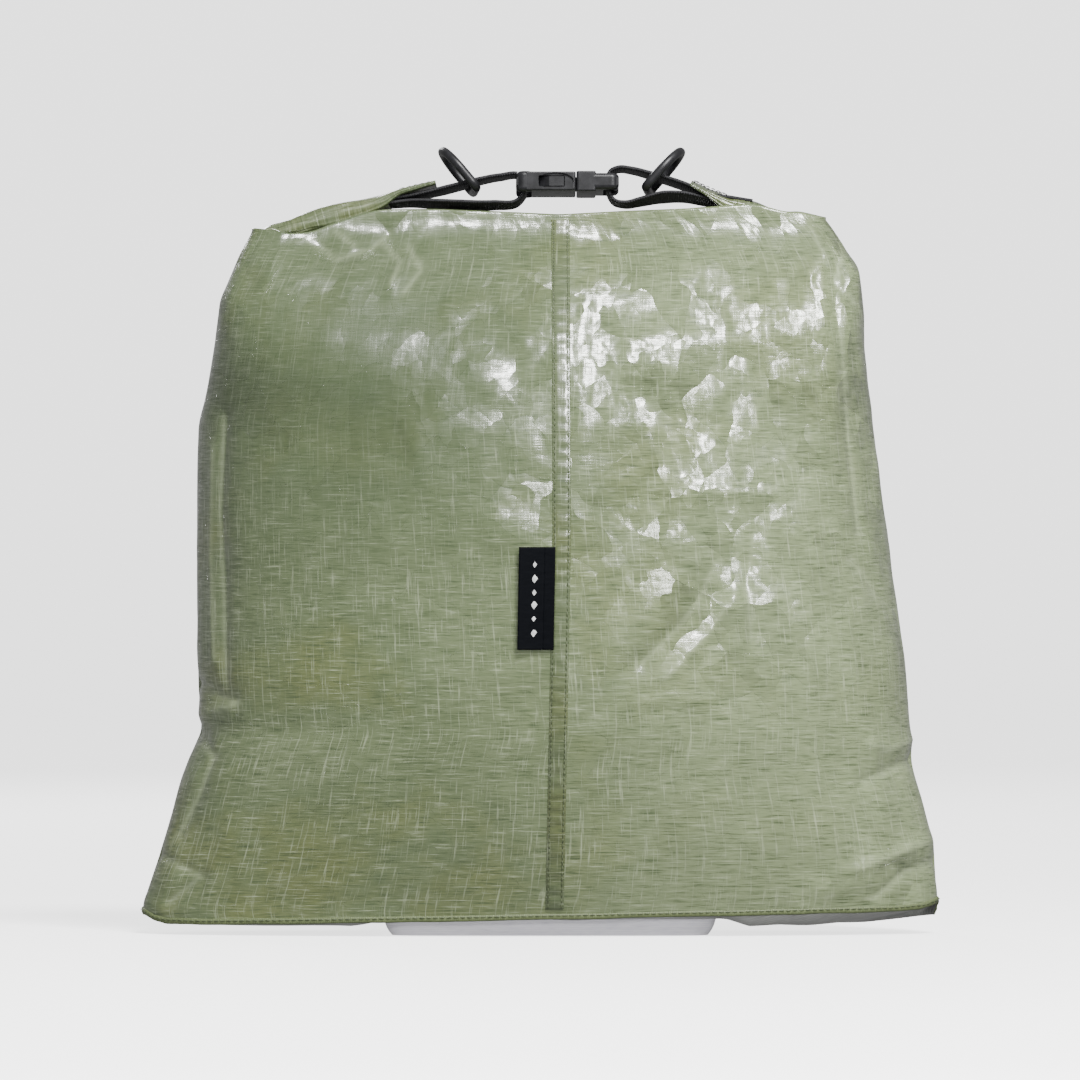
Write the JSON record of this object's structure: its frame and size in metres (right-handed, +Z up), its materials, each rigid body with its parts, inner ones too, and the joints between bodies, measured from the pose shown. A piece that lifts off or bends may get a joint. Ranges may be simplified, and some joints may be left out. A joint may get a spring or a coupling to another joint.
{
  "type": "roll-top dry bag",
  "caption": "Roll-top dry bag standing filled and closed: laminate body, sewn front seam, boxed base, rolled collar clipped into a handle by a side-release buckle with D rings.",
  "frame": {"origin": "on the floor under the middle of the bag", "axes": "+Z up the standing bag; the front, with the sewn seam and the label, faces -Y; +X is to the right seen from the front"},
  "size_m": [0.3788, 0.1785, 0.3734],
  "materials": {
    "laminate": "glossy coated woven laminate, slightly translucent",
    "base_laminate": "silver-grey coated laminate",
    "webbing": "black woven webbing",
    "thread": "sewing thread",
    "seam_tape": "translucent seam tape",
    "stiffener": "smooth",
    "acetal": "satin moulded plastic",
    "label": "woven label, plain"
  },
  "bodies": {
    "bag": {"body_wrap": "laminate", "front_seam": "laminate", "front_seam_thread_left": "thread", "front_seam_thread_right": "thread", "front_seam_tape": "seam_tape", "base_panel": "base_laminate", "base_patch": "base_laminate", "bottom_binding": "laminate", "bottom_thread": "thread", "bottom_seam_tape": "seam_tape", "rolled_collar": "laminate", "stiffener_front": "stiffener", "stiffener_back": "stiffener", "collar_arm_left": "laminate", "collar_arm_right": "laminate", "label_root": "label"},
    "closure": {"strap_left": "webbing", "strap_right": "webbing", "strap_tack_left": "thread", "strap_tack_right": "thread", "buckle_socket": "acetal"},
    "plug": {"buckle_plug": "acetal"},
    "prong_front": {"prong_front": "acetal"},
    "prong_back": {"prong_back": "acetal"},
    "d_ring_left": {"d_ring_left": "acetal"},
    "d_ring_right": {"d_ring_right": "acetal"},
    "label": {"label_flap": "label"}
  },
  "joints": [
    {"name": "closure_rock", "type": "hinge", "parent": "bag", "child": "closure", "pos_m": [0.013, 0, 0.35], "axis": [1, 0, 0], "range_deg": [-20, 35], "stiffness_Nm_per_rad": 0.05, "deforming": ["collar_arm_left", "collar_arm_right"]},
    {"name": "buckle_release", "type": "slide", "parent": "closure", "child": "plug", "axis": [1, 0, 0], "range_m": [0, 0.018], "deforming": ["strap_right", "prong_front", "prong_back"]},
    {"name": "prong_front_press", "type": "hinge", "parent": "plug", "child": "prong_front", "pos_m": [0.02275, -0.00808, 0.35633], "axis": [0, 0.0872, 0.9962], "range_deg": [-10, 0], "stiffness_Nm_per_rad": 0.05},
    {"name": "prong_back_press", "type": "hinge", "parent": "plug", "child": "prong_back", "pos_m": [0.02275, 0.00906, 0.35483], "axis": [0, 0.0872, 0.9962], "range_deg": [0, 10], "stiffness_Nm_per_rad": 0.05},
    {"name": "d_ring_left_swing", "type": "hinge", "parent": "closure", "child": "d_ring_left", "pos_m": [-0.03095, 0.00025, 0.35289], "axis": [-0.0698, 0.9938, -0.0869], "range_deg": [-28, 88]},
    {"name": "d_ring_right_swing", "type": "hinge", "parent": "plug", "child": "d_ring_right", "pos_m": [0.05095, 0.00028, 0.35319], "axis": [0.0698, 0.9938, -0.0869], "range_deg": [-80, 24]},
    {"name": "label_lift", "type": "hinge", "parent": "bag", "child": "label", "pos_m": [0.00185, -0.0883, 0.1354], "axis": [0, -0.0344, 0.9994], "range_deg": [0, 120]}
  ]
}
